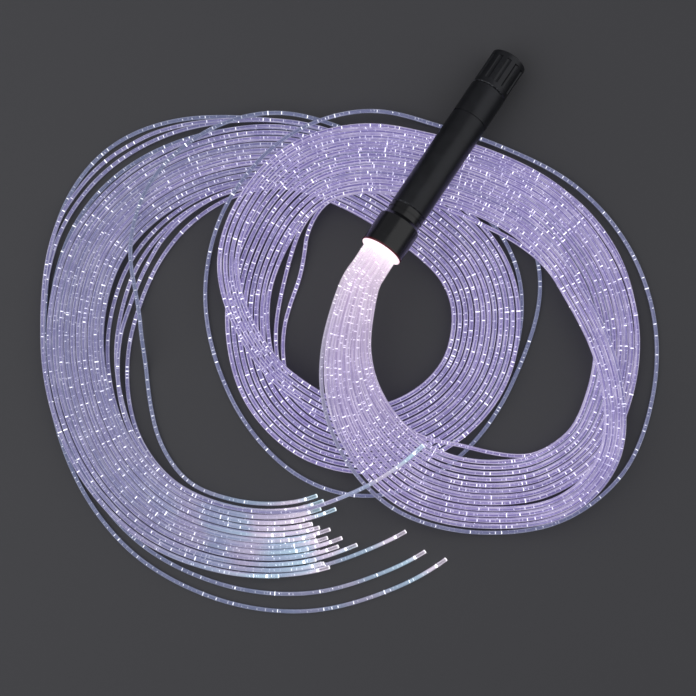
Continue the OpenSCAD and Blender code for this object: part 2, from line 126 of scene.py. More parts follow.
# Strays: layer, group, side, lanes that leave, start, end, metres
STRAYS = [
    (0, 3, -1, 4, 8.5, 15, 0.007), (0, 3, -1, 4, 13, 18, 0.007), (0, 3, -1, 4, 20.5, 25, 0.012),
    (0, 3, -1, 4, 25, 29, 0.018), (0, 3, 1, 4, 31.5, 37.5, 0.020), (0, 1, -1, 1, 10.5, 14, 0.003),
    (0, 2, -1, 1, 25, 29.5, 0.007), (0, 2, -1, 1, 29.8, 34, 0.014), (0, 2, -1, 2, 30, 34.5, 0.005),
    (0, 2, -1, 1, 34, 46, 0.009), (0, 2, -1, 2, 34.5, 46, 0.015), (0, 2, -1, 3, 35, 46, 0.007),
    (0, 1, 1, 1, 29.5, 37, 0.014), (0, 1, 1, 2, 30, 36, 0.006), (0, 2, 1, 1, 4.8, 8, 0.005),
    (0, 2, 1, 2, 5, 8.5, 0.004), (0, 0, 1, 1, 12, 15.5, 0.004), (0, 0, 1, 1, 16.5, 22, 0.014),
    (0, 0, 1, 2, 17, 20.5, 0.004), (1, 2, -1, 1, 29.8, 34.5, 0.008), (2, 2, -1, 1, 30, 34.3, 0.0135),
    (1, 1, 1, 1, 30, 36.5, 0.008), (2, 1, 1, 1, 30.3, 36, 0.0135), (1, 0, 1, 1, 17, 21.5, 0.008),
]

# Sideways way of an upper stray before it comes down, for each layer under it, and while it does
SINK_START = 0.005
SINK_RUN = 0.003

# Section of a strand and reach of its light in metres, and shares of light
SLEEVE_R = STRAND_D / 2
CORE_R = 0.0011
SPARK_ROOM = 0.0012
ROOT_LIGHT = 0.5
ROOT_FADE = 0.007
NEAR_FADE = 0.07
FAR_FADE = 0.04
FAR_LIGHT = 0.95
MEAN_STEP = 0.043
CORE_SPREAD = 0.5
SLEEVE_SPREAD = 0.93
STRAY_TINT = 0.75
MOST_TINT = 0.2
TAIL_TINT = 0.45
TAIL_START = 1.1
TAIL_RUN = 0.3
NEAR_DIMMING = 0.7
BAKE_ROWS = 20
BAKE_OVERRUN = 1.06

# Sparks: chance and scatter of shared ones, clear ends of a strand, least and further step in mean gaps
SHARED_CHANCE = 0.75
SHARED_SCATTER = 0.0004
CLEAR_ROOT = 0.002
CLEAR_END = 0.004
LEAST_STEP = 0.4
MORE_STEP = 1.2

# Bright cut end of a core: distance from the end in metres, light
CORE_END = [(0.0016, 0), (0.0012, 1), (0, 1)]

# Lit end of a sleeve: distance from the end in metres, share of the radius, light
TIP_PROFILE = [(0.0016, 1, 0), (0.0011, 1, 0.2), (0.0005, 0.94, 0.5), (0.0001, 0.75, 0.6), (0, 0.5, 0.4)]

# Lit ring in the mouth: radius and station from the mouth, in metres
RING_PROFILE = [
    (0.01275, 0.00485), (0.0135, 0.00485), (0.0135, -0.0001), (0.01455, -0.0001),
    (0.01455, -0.00045), (0.0142, -0.00065), (0.01295, -0.0005), (0.01275, 0.0002),
]

# Chamfers of the barrel and the tail cap, where wear shows: middle station and half width
CHAMFERS = [(0.0339, 0.0004), (0.1367, 0.0004), (0.1377, 0.0004), (0.1647, 0.0004)]

# Camera over the coil: place in metres, turn in degrees and lens in millimetres
CAMERA_PLACE = (-0.1464, -0.0175, 1.2)
CAMERA_TURN = -56.3
CAMERA_LENS = 88.8

# Stage: side of the floor in metres, and soft lights with their shift from the view's middle, size, watts
FLOOR_SIZE = 40
SOFTBOXES = [("Key softbox", (-0.6, 1.0, 1.3), 2.4, 30), ("Fill softbox", (0.8, -0.9, 1.3), 2.4, 16)]
ROOM_LIGHT = 0.35

BLACK = (0.0, 0.0, 0.0, 1.0)

Strand = namedtuple("Strand", "across row layer group place")
Ring = namedtuple("Ring", "along radius spark turn whole")


def linear(code):
    """Linear colour of an sRGB hex value."""
    parts = [int(code[i:i + 2], 16) / 255 for i in (1, 3, 5)]
    return [c / 12.92 if c <= 0.04045 else ((c + 0.055) / 1.055) ** 2.4 for c in parts]


class WandSizes(bpy.types.PropertyGroup):
    """Sizes of the strands' light and mesh."""

    spark_pitch: FloatProperty(
        name="Spark pitch", description="Mean distance between two sparks on a strand",
        default=0.0026, min=0.002, max=0.03, unit="LENGTH")
    spark_width: FloatProperty(
        name="Spark width", description="Length of a spark along its strand",
        default=0.0011, min=0.0006, max=0.0011, unit="LENGTH")
    ring_step: FloatProperty(
        name="Ring step", description="Longest distance between two rings of a strand's mesh",
        default=0.005, min=0.002, max=0.01, unit="LENGTH")
    tip_length: FloatProperty(
        name="Clear tip", description="Length of clear sleeve past the cut end of the core",
        default=0.008, min=0.003, max=0.012, unit="LENGTH")
    sides: IntProperty(
        name="Sleeve sides", description="Sides of a sleeve's mesh", default=8, min=6, max=16)
    core_sides: IntProperty(
        name="Core sides", description="Sides of a core's mesh", default=6, min=5, max=12)


class WandColours(bpy.types.PropertyGroup):
    """Colours of the strands, the torch and the floor."""

    # Colour of the painted highlight lines along the sleeves, which stand in for a clear tube's bright edges
    sleeve: FloatVectorProperty(
        name="Sleeve", description="Pale violet lines of light along the sleeves",
        default=linear("#ECE4F8"), subtype="COLOR", min=0, max=1)
    haze: FloatVectorProperty(
        name="Haze", description="Dim violet of the clear sleeves between their lines",
        default=linear("#B0A4DA"), subtype="COLOR", min=0, max=1)
    core: FloatVectorProperty(
        name="Core", description="Light fibres in the cores along the coil",
        default=linear("#A89CD6"), subtype="COLOR", min=0, max=1)
    core_deep: FloatVectorProperty(
        name="Deep core", description="Darker lines between the light fibres of a core",
        default=linear("#4E4286"), subtype="COLOR", min=0, max=1)
    near: FloatVectorProperty(
        name="Mouth glow", description="Light in the strands close to the mouth",
        default=linear("#F6E4F0"), subtype="COLOR", min=0, max=1)
    cool: FloatVectorProperty(
        name="Cool glow", description="Grey blue of the far loop and of the strands that stray",
        default=linear("#8A94B0"), subtype="COLOR", min=0, max=1)
    cool_core: FloatVectorProperty(
        name="Cool core", description="Dim grey blue of the cores in those strands",
        default=linear("#505A7A"), subtype="COLOR", min=0, max=1)
    end_cyan: FloatVectorProperty(
        name="Cyan end", description="Cyan that the light parts into at the ends",
        default=linear("#C2DEEE"), subtype="COLOR", min=0, max=1)
    end_pink: FloatVectorProperty(
        name="Pink end", description="Pink that the light parts into at the ends",
        default=linear("#F0E4F4"), subtype="COLOR", min=0, max=1)
    spark: FloatVectorProperty(
        name="Spark", description="Colour of the sparks",
        default=linear("#FFFFFF"), subtype="COLOR", min=0, max=1)
    collar: FloatVectorProperty(
        name="Collar", description="Gloss black of the collar",
        default=linear("#0D0D10"), subtype="COLOR", min=0, max=1)
    rim: FloatVectorProperty(
        name="Rim", description="Dull red where light shines through the collar's edge",
        default=linear("#4A1018"), subtype="COLOR", min=0, max=1)
    barrel: FloatVectorProperty(
        name="Barrel", description="Black of the anodised barrel and tail cap",
        default=linear("#131418"), subtype="COLOR", min=0, max=1)
    floor: FloatVectorProperty(
        name="Floor", description="Charcoal floor",
        default=linear("#2E2E32"), subtype="COLOR", min=0, max=1)


# Strand routes


def smooth(x):
    """Soft step from 0 to 1."""
    c = np.clip(x, 0, 1)
    return c * c * (3 - 2 * c)


def bump(t, start, end):
    """Soft hump between two stations."""
    return smooth(2 * (t - start) / (end - start)) * smooth(2 * (end - t) / (end - start))


def all_strands():
    """Three layers of three groups of four strands, and a lone one."""
    made = []
    for layer, places in enumerate(PLACES):
        for k, (across, row) in enumerate(places):
            made.append(Strand(across, row, layer, k // 4, k % 4))
    made.append(Strand(*LONE_PLACE, 0, LONE_GROUP, 0))
    return made


def is_rider(strand):
    """True for the strand that rides over the others at its end."""
    return (strand.layer, strand.group, strand.place) == RIDER


def has_stray_end(strand):
    """True for the three bottom strands whose ends lie apart from the others."""
    return strand.layer == 0 and strand.group == 2 and strand.place < len(STRAY_ENDS)


def end_of(strand):
    """Station where a strand is cut."""
    if is_rider(strand):
        return RIDER_END
    if has_stray_end(strand):
        return STRAY_ENDS[strand.place]
    share = (0.618 * (strand.place + 1) + 0.29 * strand.layer + 0.41 * strand.group) % 1
    return MEAN_END + END_SPREAD * (share - 0.5) ** 3


def slot_at(group, t):
    """Sideways place of a group: a hop takes it from the outside of the bundle to the inside."""
    if group == LONE_GROUP:
        return LONE_SLOT * (2 * smooth((t - LONE_HOP - 1) / SHIFT_RUN) - 1)
    slot = np.full_like(t, group - 1)
    for k, hop in enumerate(HOPS):
        slot = slot + ((group - k - 1) % 3 - (group - k) % 3) * smooth((t - hop - 1) / SHIFT_RUN)
    return SLOT_W * slot


def lift_at(group, t):
    """Height of a group while it hops over the others."""
    if group == 2:
        return np.zeros_like(t)
    hop = LONE_HOP if group == LONE_GROUP else HOPS[group]
    return HOP_LIFT * smooth(t - hop) * smooth(hop + HOP_RUN - t)


def lane_at(strand, t):
    """Place of a strand in its group: the gaps share a fixed room and drift along the route."""
    if strand.group == LONE_GROUP:
        return np.zeros_like(t)
    drift = GAP_DRIFT * smooth((t - LAY_START) / LAY_RUN)
    shares = []
    for k in range(3):
        phase = t / (6 + k + 0.7 * strand.layer) + 0.37 * k + 0.23 * strand.layer + 0.41 * strand.group
        shares.append(1 + drift * np.sin(2 * np.pi * phase))
    steps = [LANE_PITCH + LANE_ROOM * share / sum(shares) for share in shares]
    return sum(steps[:strand.place], np.zeros_like(t)) - GROUP_W / 2


def stray_at(strand, t):
    """How far a strand strays from its lane."""
    stray = np.zeros_like(t)
    for layer, group, side, lanes, start, end, far in STRAYS:
        leaves = strand.place < lanes if side < 0 else strand.place >= 4 - lanes
        if (strand.layer, strand.group) == (layer, group) and leaves:
            stray = stray + side * far * bump(t, start, end)
    return stray


def layer_at(strand, stray):
    """Layer of a strand, which comes down to the table where it strays clear of the layers under it."""
    sunk = smooth((np.abs(stray) - strand.layer * SINK_START) / SINK_RUN)
    return strand.layer * (1 - sunk)


def route_at(t):
    """Middle of the bundle at stations t, with its sideways and upward directions."""
    start = (*(MOUTH + FACE_STATION * AXIS), 0)
    leave = (*(MOUTH - EXIT_LENGTH * AXIS), 0)
    points = np.array([start, leave, *ROUTE_POINTS])
    last = len(points) - 1
    padded = np.vstack([2 * points[0] - points[1], points, 2 * points[last] - points[last - 1]])
    i = np.clip(np.floor(t).astype(int), 0, last - 1)
    f = (t - i)[:, None]
    before, here, ahead, beyond = (padded[i + k] for k in range(4))
    pull = (ahead - before) / 2
    push = (beyond - here) / 2
    bend = 3 * (ahead - here) - 2 * pull - push
    curl = 2 * (here - ahead) + pull + push
    place = here + pull * f + bend * f ** 2 + curl * f ** 3
    heading = (pull + 2 * bend * f + 3 * curl * f ** 2)[:, :3]
    heading /= np.linalg.norm(heading, axis=1)[:, None]
    left = level_left(heading)
    over = np.cross(heading, left)
    bank = np.radians(place[:, 3])[:, None]
    side = left * np.cos(bank) + over * np.sin(bank)
    up = over * np.cos(bank) - left * np.sin(bank)
    middle = place[:, :3]
    middle[:, 2] = np.maximum(middle[:, 2], STACK_Z)
    return middle, side, up


def level_left(heading):
    """Level directions to the left of headings."""
    left = np.stack([-heading[:, 1], heading[:, 0], np.zeros(len(heading))], 1)
    return left / np.linalg.norm(left, axis=1)[:, None]


def strand_points(strand, t):
    """Middle line of a strand at stations t."""
    middle, side, up = route_at(t)
    stray = stray_at(strand, t)
    lane = slot_at(strand.group, t) + lane_at(strand, t) + stray
    packed = strand.across * MOUTH_PITCH
    across = packed + (lane - packed) * smooth((t - FAN_START) / FAN_RUN)
    tight = MOUTH_PITCH * math.sqrt(3) / 2
    stacked = strand.row * (tight + (MOUTH_PITCH - tight) * smooth(t - FAN_START))
    layer = (layer_at(strand, stray) - 1) * LAYER_PITCH + lift_at(strand.group, t)
    if is_rider(strand):
        layer = layer + RIDER_LIFT * smooth((t - RIDER_START) / RIDER_RUN)
    upward = stacked + (layer - stacked) * smooth((t - LAY_START) / LAY_RUN)
    points = middle + side * across[:, None] + up * upward[:, None]
    points[:, 2] = np.maximum(points[:, 2], STRAND_D / 2)
    return points


# Strand meshes


def spark_places(strand, length, station_run, sizes, rng):
    """Sparks of a strand: place, strength, turn and spread around it.

    Half of them stand at stations that the four strands of a group share, so they line up across it.
    """
    shared = np.random.default_rng(10 * strand.layer + strand.group)
    gap = 2 * sizes.spark_pitch
    found = []
    spot = gap * shared.random()
    while spot < length:
        if rng.random() < SHARED_CHANCE:
            place = station_run(spot) + SHARED_SCATTER * rng.standard_normal()
            found.append((place, 0.45 + 0.55 * rng.random(), rng.random()))
        spot += gap * (LEAST_STEP + MORE_STEP * shared.random())
    spot = gap * rng.random()
    while spot < length:
        found.append((spot, 0.15 + 0.6 * rng.random() ** 2, 0.6 * rng.random()))
        spot += gap * (LEAST_STEP + MORE_STEP * rng.random())
    sparks = []
    last = CLEAR_ROOT
    for place, strength, spread in sorted(found):
        if last + SPARK_ROOM < place < length - sizes.tip_length - CLEAR_END:
            strength = strength * (1 - NEAR_DIMMING * math.exp(-place / NEAR_FADE))
            sparks.append((place, strength, 2 * math.pi * rng.random(), spread))
            last = place
    return sparks


def spark_steps(sizes):
    """Rings of one spark: shift along the strand and share of its strength."""
    half = sizes.spark_width / 2
    return (-half, 0), (0, 1), (half, 0)


def core_rings(length, sparks, sizes):
    """Rings of the light core, from the potted end to the bright cut end."""
    stop = length - sizes.tip_length
    rings = [Ring(0.0, CORE_R, 0.0, 0.0, False)]
    for place, strength, turn, spread in sparks:
        for shift, share in spark_steps(sizes):
            rings.append(Ring(place + shift, CORE_R, strength * share, turn, spread > CORE_SPREAD))
    for back, power in CORE_END:
        rings.append(Ring(stop - back, CORE_R, power, 0.0, True))
    return fill_rings(rings, sizes.ring_step)


def sleeve_rings(length, sparks, sizes):
    """Rings of the clear sleeve, to its rounded lit end."""
    rings = [Ring(0.0, SLEEVE_R, 0.0, 0.0, True)]
    for place, strength, turn, spread in sparks:
        if spread > SLEEVE_SPREAD:
            for shift, share in spark_steps(sizes):
                rings.append(Ring(place + shift, SLEEVE_R, strength * share, turn, True))
    for back, size, power in TIP_PROFILE:
        rings.append(Ring(length - back, size * SLEEVE_R, power, 0.0, True))
    return fill_rings(rings, sizes.ring_step)


def fill_rings(rings, step):
    """Adds plain rings where two rings stand further apart than a step."""
    filled = [rings[0]]
    for ring in rings[1:]:
        last = filled[-1]
        gap = ring.along - last.along
        extra = int(gap / step)
        for k in range(extra):
            filled.append(Ring(last.along + gap * (k + 1) / (extra + 1), last.radius, 0.0, 0.0, True))
        filled.append(ring)
    return filled


def tube(rings, line, sides, first):
    """Points and faces of a closed tube around a line."""
    along = np.array([ring.along for ring in rings])
    heading = np.gradient(line, along, axis=0)
    heading /= np.linalg.norm(heading, axis=1)[:, None]
    left = level_left(heading)
    over = np.cross(heading, left)
    angles = 2 * np.pi * np.arange(sides) / sides
    radius = np.array([ring.radius for ring in rings])
    spokes = left[:, None] * np.cos(angles)[None, :, None] + over[:, None] * np.sin(angles)[None, :, None]
    points = line[:, None] + radius[:, None, None] * spokes
    corner = first + np.arange(len(rings) * sides).reshape(-1, sides)
    ahead = np.roll(corner, -1, axis=1)
    walls = np.stack([corner[:-1], ahead[:-1], ahead[1:], corner[1:]], 2).reshape(-1, 4)
    faces = [corner[0][::-1].tolist(), *walls.tolist(), corner[-1].tolist()]
    return points.reshape(-1, 3), faces


def strand_mesh(name, strand, sizes, rng):
    """One strand: a light core with sparks in a clear sleeve, and its middle line."""
    stop = end_of(strand)
    t = np.linspace(0, stop, int(stop * LINE_STEPS))
    steps = np.linalg.norm(np.diff(strand_points(strand, t), axis=0), axis=1)
    run = np.concatenate([[0], np.cumsum(steps)])
    length = float(run[-1])

    def station_run(spot):
        """Length along this strand to a spot that is given in mean route length."""
        return np.interp(spot / MEAN_STEP, t, run)

    sparks = spark_places(strand, length, station_run, sizes, rng)
    tubes = ((sleeve_rings(length, sparks, sizes), sizes.sides),
             (core_rings(length, sparks, sizes), sizes.core_sides))
    points = []
    faces = []
    slots = []
    lines = []
    for slot, (rings, sides) in enumerate(tubes):
        along = np.array([ring.along for ring in rings])
        lines.append(strand_points(strand, np.interp(along, run, t)))
        first = sum(len(part) for part in points)
        tube_points, tube_faces = tube(rings, lines[-1], sides, first)
        points.append(tube_points)
        faces += tube_faces
        slots += [slot] * len(tube_faces)
    mesh = bpy.data.meshes.new(name)
    mesh.from_pydata(np.concatenate(points).tolist(), [], faces)
    mesh.shade_smooth()
    mesh.polygons.foreach_set("material_index", slots)
    strand_light(mesh, strand, tubes, rng)
    strand_maps(mesh, tubes, length)
    return mesh, lines[0], length


def strand_light(mesh, strand, tubes, rng):
    """Writes a strand's light to its points: sparks, nearness to the mouth and the ends, and tint."""
    stray = strand.group == LONE_GROUP or has_stray_end(strand)
    tint = STRAY_TINT if stray else MOST_TINT * rng.random() ** 2
    values = {"spark": [], "near": [], "far": [], "tint": []}
    for rings, sides in tubes:
        angles = 2 * np.pi * np.arange(sides) / sides
        power = np.array([ring.spark for ring in rings])[:, None]
        turn = np.array([ring.turn for ring in rings])[:, None]
        whole = np.array([ring.whole for ring in rings])[:, None]
        dot = np.cos(angles[None, :] - turn) ** 4
        along = np.array([ring.along for ring in rings])[:, None] * np.ones((1, sides))
        root = ROOT_LIGHT * np.exp(-along / ROOT_FADE)
        values["spark"].append(np.maximum(root, power * np.where(whole, 1.0, dot)))
        values["near"].append(np.exp(-along / NEAR_FADE))
        values["far"].append(FAR_LIGHT * np.exp((along - along[-1]) / FAR_FADE))
        tail = TAIL_TINT * smooth((along - TAIL_START) / TAIL_RUN)
        values["tint"].append(tint + (1 - tint) * tail)
    for name, parts in values.items():
        attribute = mesh.attributes.new(name=name, type="FLOAT", domain="POINT")
        flat = np.concatenate([part.ravel() for part in parts])
        attribute.data.foreach_set("value", flat.astype(np.float32))


def strand_maps(mesh, tubes, length):
    """Sleeve map in turns and metres, and a map that folds the strand into rows for baking."""
    maps = {"Sleeve": [], "OFBake": []}
    row_length = length / BAKE_ROWS
    for tube_number, (rings, sides) in enumerate(tubes):
        along = np.array([ring.along for ring in rings])
        row = np.minimum((along[:-1] / row_length).astype(int), BAKE_ROWS - 1)
        start = (along[:-1] / row_length - row) / BAKE_OVERRUN
        end = (along[1:] / row_length - row) / BAKE_OVERRUN
        turn = np.arange(sides) / sides
        sleeve = np.zeros(((len(along) - 1) * sides, 4, 2))
        sleeve[:, (0, 3), 0] = np.tile(turn, len(along) - 1)[:, None]
        sleeve[:, (1, 2), 0] = np.tile(turn + 1 / sides, len(along) - 1)[:, None]
        sleeve[:, (0, 1), 1] = np.repeat(along[:-1], sides)[:, None]
        sleeve[:, (2, 3), 1] = np.repeat(along[1:], sides)[:, None]
        folded = np.zeros_like(sleeve)
        folded[:, (0, 1), 0] = 0.01 + 0.97 * np.repeat(start, sides)[:, None]
        folded[:, (2, 3), 0] = 0.01 + 0.97 * np.repeat(end, sides)[:, None]
        rows_up = np.repeat(row, sides)[:, None] + BAKE_ROWS * tube_number
        folded[:, :, 1] = (rows_up + 0.08 + 0.84 * sleeve[:, :, 0]) / (2 * BAKE_ROWS)
        spin = 2 * np.pi * np.arange(sides) / sides
        disc = 0.005 * np.stack([np.cos(spin), np.sin(spin)], 1)
        first = disc + (0.99, 0.2 + 0.5 * tube_number)
        last = disc + (0.99, 0.35 + 0.5 * tube_number)
        for name, walls in (("Sleeve", sleeve), ("OFBake", folded)):
            maps[name] += [first[::-1].ravel(), walls.ravel(), last.ravel()]
    for name, parts in maps.items():
        layer = mesh.uv_layers.new(name=name)
        layer.data.foreach_set("uv", np.concatenate(parts).astype(np.float32))
    mesh.uv_layers["Sleeve"].active = True
    mesh.uv_layers["Sleeve"].active_render = True


# Materials


def add(tree, kind, values=None, links=None, **settings):
    """Adds one node with its settings, socket values and incoming links."""
    made = tree.nodes.new(kind)
    for name, value in settings.items():
        setattr(made, name, value)
    for socket, value in (values or {}).items():
        made.inputs[socket].default_value = value
    for socket, source in (links or {}).items():
        tree.links.new(source, made.inputs[socket])
    return made


def surface(name, **values):
    """A material with its shader's plain values set, by socket name with underscores."""
    material = bpy.data.materials.new(name)
    material.use_nodes = True
    tree = material.node_tree
    shader = tree.nodes["Principled BSDF"]
    for socket, value in values.items():
        shader.inputs[socket.replace("_", " ")].default_value = value
    return material, tree, shader


def solid(colour):
    """A linear colour with full alpha."""
    return (*colour[:3], 1.0)


def along_torch(tree):
    """Distance from the mouth towards the tail, in metres."""
    place = add(tree, "ShaderNodeTexCoord").outputs["Object"]
    from_mouth = add(tree, "ShaderNodeVectorMath", {1: MOUTH}, {0: place}, operation="SUBTRACT")
    return add(tree, "ShaderNodeVectorMath", {1: AXIS}, {0: from_mouth.outputs[0]},
               operation="DOT_PRODUCT").outputs["Value"]


def light_colour(tree, colours, body, cool):
    """Light of a strand over its body colour: cool tint, the mouth's glow, parted ends, sparks."""
    light = {name: add(tree, "ShaderNodeAttribute", attribute_name=name).outputs["Fac"]
             for name in ("spark", "near", "far", "tint")}
    # The light's colours part over about 25 mm at the ends
    place = add(tree, "ShaderNodeTexCoord").outputs["Object"]
    wash = add(tree, "ShaderNodeTexNoise", {"Scale": 1 / 0.025, "Detail": 0.0}, {"Vector": place})
    part = add(tree, "ShaderNodeMapRange", {1: 0.4, 2: 0.6}, {0: wash.outputs["Fac"]}).outputs[0]
    ends = add(tree, "ShaderNodeMix", {6: solid(colours.end_pink), 7: solid(colours.end_cyan)}, {0: part},
               data_type="RGBA").outputs[2]
    body = add(tree, "ShaderNodeMix", {7: solid(cool)}, {0: light["tint"], 6: body},
               data_type="RGBA").outputs[2]
    body = add(tree, "ShaderNodeMix", {7: solid(colours.near)}, {0: light["near"], 6: body},
               data_type="RGBA").outputs[2]
    body = add(tree, "ShaderNodeMix", links={0: light["far"], 6: body, 7: ends}, data_type="RGBA").outputs[2]
    body = add(tree, "ShaderNodeMix", {7: solid(colours.spark)}, {0: light["spark"], 6: body},
               data_type="RGBA").outputs[2]
    return body, light


def clear_sleeve(colours):
    """Extruded clear vinyl: a see-through pale haze with four painted highlight lines for a clear tube's
    bright edges, lit where a spark rings it.
    """
    material, tree, shader = surface("Clear extruded vinyl", Roughness=0.2, IOR=1.53)
    material.cycles.emission_sampling = "NONE"
    # Painted highlight: four bright lines along the sleeve stand in for the bright edges of a clear tube
    sleeve = add(tree, "ShaderNodeUVMap", uv_map="Sleeve").outputs[0]
    turns = add(tree, "ShaderNodeSeparateXYZ", links={0: sleeve}).outputs[0]
    phase = add(tree, "ShaderNodeMath", {1: 8 * math.pi, 2: -math.pi}, {0: turns}, operation="MULTIPLY_ADD")
    wave = add(tree, "ShaderNodeMath", links={0: phase.outputs[0]}, operation="COSINE")
    line = add(tree, "ShaderNodeMapRange", {1: 0.2, 2: 0.9}, {0: wave.outputs[0]}).outputs[0]
    # The haze drifts along a strand over about 12 mm
    place = add(tree, "ShaderNodeTexCoord").outputs["Object"]
    haze = add(tree, "ShaderNodeTexNoise", {"Scale": 1 / 0.012, "Detail": 2.0}, {"Vector": place})
    drift = add(tree, "ShaderNodeMapRange", {1: 0.35, 2: 0.65, 3: 0.45, 4: 1.0}, {0: haze.outputs["Fac"]})
    # Painted highlight lines, dimmer where the haze drifts low
    bright = add(tree, "ShaderNodeMath", links={0: line, 1: drift.outputs[0]},
                 operation="MULTIPLY").outputs[0]
    body = add(tree, "ShaderNodeMix", {6: solid(colours.haze), 7: solid(colours.sleeve)}, {0: bright},
               data_type="RGBA").outputs[2]
    body, light = light_colour(tree, colours, body, colours.cool)
    dim = add(tree, "ShaderNodeMix", {0: 0.4, 7: BLACK}, {6: body}, data_type="RGBA").outputs[2]
    tree.links.new(dim, shader.inputs["Base Color"])
    tree.links.new(body, shader.inputs["Emission Color"])
    power = add(tree, "ShaderNodeMath", {1: 1.5, 2: 0.45}, {0: light["spark"]}, operation="MULTIPLY_ADD")
    tree.links.new(power.outputs[0], shader.inputs["Emission Strength"])
    # The painted highlight lines are more opaque than the haze between them
    cover = add(tree, "ShaderNodeMath", {1: 0.55, 2: 0.25}, {0: bright}, operation="MULTIPLY_ADD").outputs[0]
    cover = add(tree, "ShaderNodeMath", links={0: cover, 1: light["spark"]}, operation="MAXIMUM")
    tree.links.new(cover.outputs[0], shader.inputs["Alpha"])
    return material


def light_core(colours):
    """Twisted acrylic light fibres: fine bright and dark lines with white sparks where they are nicked."""
    material, tree, shader = surface("Nicked acrylic light fibre", Roughness=0.25, IOR=1.49)
    material.cycles.emission_sampling = "NONE"
    # Four light fibres show around a core, and twist once in 300 mm
    sleeve = add(tree, "ShaderNodeUVMap", uv_map="Sleeve").outputs[0]
    twist = add(tree, "ShaderNodeVectorMath", {1: (4, 4 / 0.3, 0)}, {0: sleeve}, operation="DOT_PRODUCT")
    turn = add(tree, "ShaderNodeMath", {1: 2 * math.pi}, {0: twist.outputs["Value"]}, operation="MULTIPLY")
    wave = add(tree, "ShaderNodeMath", links={0: turn.outputs[0]}, operation="SINE")
    streak = add(tree, "ShaderNodeMapRange", {1: -0.7, 2: 0.7}, {0: wave.outputs[0]}).outputs[0]
    # Brightness drifts along a strand over about 20 mm
    place = add(tree, "ShaderNodeTexCoord").outputs["Object"]
    cloud = add(tree, "ShaderNodeTexNoise", {"Scale": 1 / 0.02, "Detail": 2.0}, {"Vector": place})
    level = add(tree, "ShaderNodeMapRange", {1: 0.3, 2: 0.7, 3: 0.3, 4: 1.0}, {0: cloud.outputs["Fac"]})
    tone = add(tree, "ShaderNodeMath", links={0: streak, 1: level.outputs[0]},
               operation="MULTIPLY").outputs[0]
    body = add(tree, "ShaderNodeMix", {6: solid(colours.core_deep), 7: solid(colours.core)}, {0: tone},
               data_type="RGBA").outputs[2]
    body, light = light_colour(tree, colours, body, colours.cool_core)
    dim = add(tree, "ShaderNodeMix", {0: 0.4, 7: BLACK}, {6: body}, data_type="RGBA").outputs[2]
    tree.links.new(dim, shader.inputs["Base Color"])
    tree.links.new(body, shader.inputs["Emission Color"])
    power = add(tree, "ShaderNodeMath", {1: 3.0, 2: 0.45}, {0: light["spark"]}, operation="MULTIPLY_ADD")
    tree.links.new(power.outputs[0], shader.inputs["Emission Strength"])
    return material


def frosted_ring():
    """Frosted acrylic ring, lit from behind: white, turning pink towards its outer edge."""
    material, tree, shader = surface("Frosted acrylic", Roughness=0.5, IOR=1.49, Emission_Strength=0.7)
    material.cycles.emission_sampling = "NONE"
    place = add(tree, "ShaderNodeTexCoord").outputs["Object"]
    from_mouth = add(tree, "ShaderNodeVectorMath", {1: MOUTH}, {0: place}, operation="SUBTRACT").outputs[0]
    across = add(tree, "ShaderNodeVectorMath", {1: AXIS}, {0: from_mouth},
                 operation="CROSS_PRODUCT").outputs[0]
    radius = add(tree, "ShaderNodeVectorMath", links={0: across}, operation="LENGTH").outputs["Value"]
    edge = add(tree, "ShaderNodeMapRange", {1: 0.0132, 2: 0.01455}, {0: radius}).outputs[0]
    body = add(tree, "ShaderNodeMix", {6: solid(linear("#FFFFFF")), 7: solid(linear("#F1CBD4"))}, {0: edge},
               data_type="RGBA").outputs[2]
    tree.links.new(body, shader.inputs["Base Color"])
    tree.links.new(body, shader.inputs["Emission Color"])
    # Frosting of about 0.3 mm
    frost = add(tree, "ShaderNodeTexNoise", {"Scale": 1 / 0.0003, "Detail": 1.0}, {"Vector": place})
    bump_node = add(tree, "ShaderNodeBump", {"Strength": 0.1, "Distance": 0.0001},
                    {"Height": frost.outputs["Fac"]})
    tree.links.new(bump_node.outputs[0], shader.inputs["Normal"])
    return material


def gloss_abs(colours):
    """Moulded ABS: deep black with a faint ripple in its gloss, dull red where the lit rim is thin."""
    material, tree, shader = surface("Gloss moulded ABS", IOR=1.52, Specular_IOR_Level=0.35)
    place = add(tree, "ShaderNodeTexCoord").outputs["Object"]
    station = along_torch(tree)
    rim = add(tree, "ShaderNodeMapRange", {1: 0.0004, 2: 0.0014, 3: 1.0, 4: 0.0}, {0: station}).outputs[0]
    body = add(tree, "ShaderNodeMix", {6: solid(colours.collar), 7: solid(colours.rim)}, {0: rim},
               data_type="RGBA").outputs[2]
    tree.links.new(body, shader.inputs["Base Color"])
    # Handling leaves faint dull patches of a few millimetres
    patch = add(tree, "ShaderNodeTexNoise", {"Scale": 1 / 0.006, "Detail": 3.0}, {"Vector": place})
    dull = add(tree, "ShaderNodeMapRange", {1: 0.35, 2: 0.75, 3: 0.2, 4: 0.28}, {0: patch.outputs["Fac"]})
    tree.links.new(dull.outputs[0], shader.inputs["Roughness"])
    ripple = add(tree, "ShaderNodeTexNoise", {"Scale": 1 / 0.002, "Detail": 1.0}, {"Vector": place})
    bump_node = add(tree, "ShaderNodeBump", {"Strength": 0.08, "Distance": 0.0002},
                    {"Height": ripple.outputs["Fac"]})
    tree.links.new(bump_node.outputs[0], shader.inputs["Normal"])
    return material


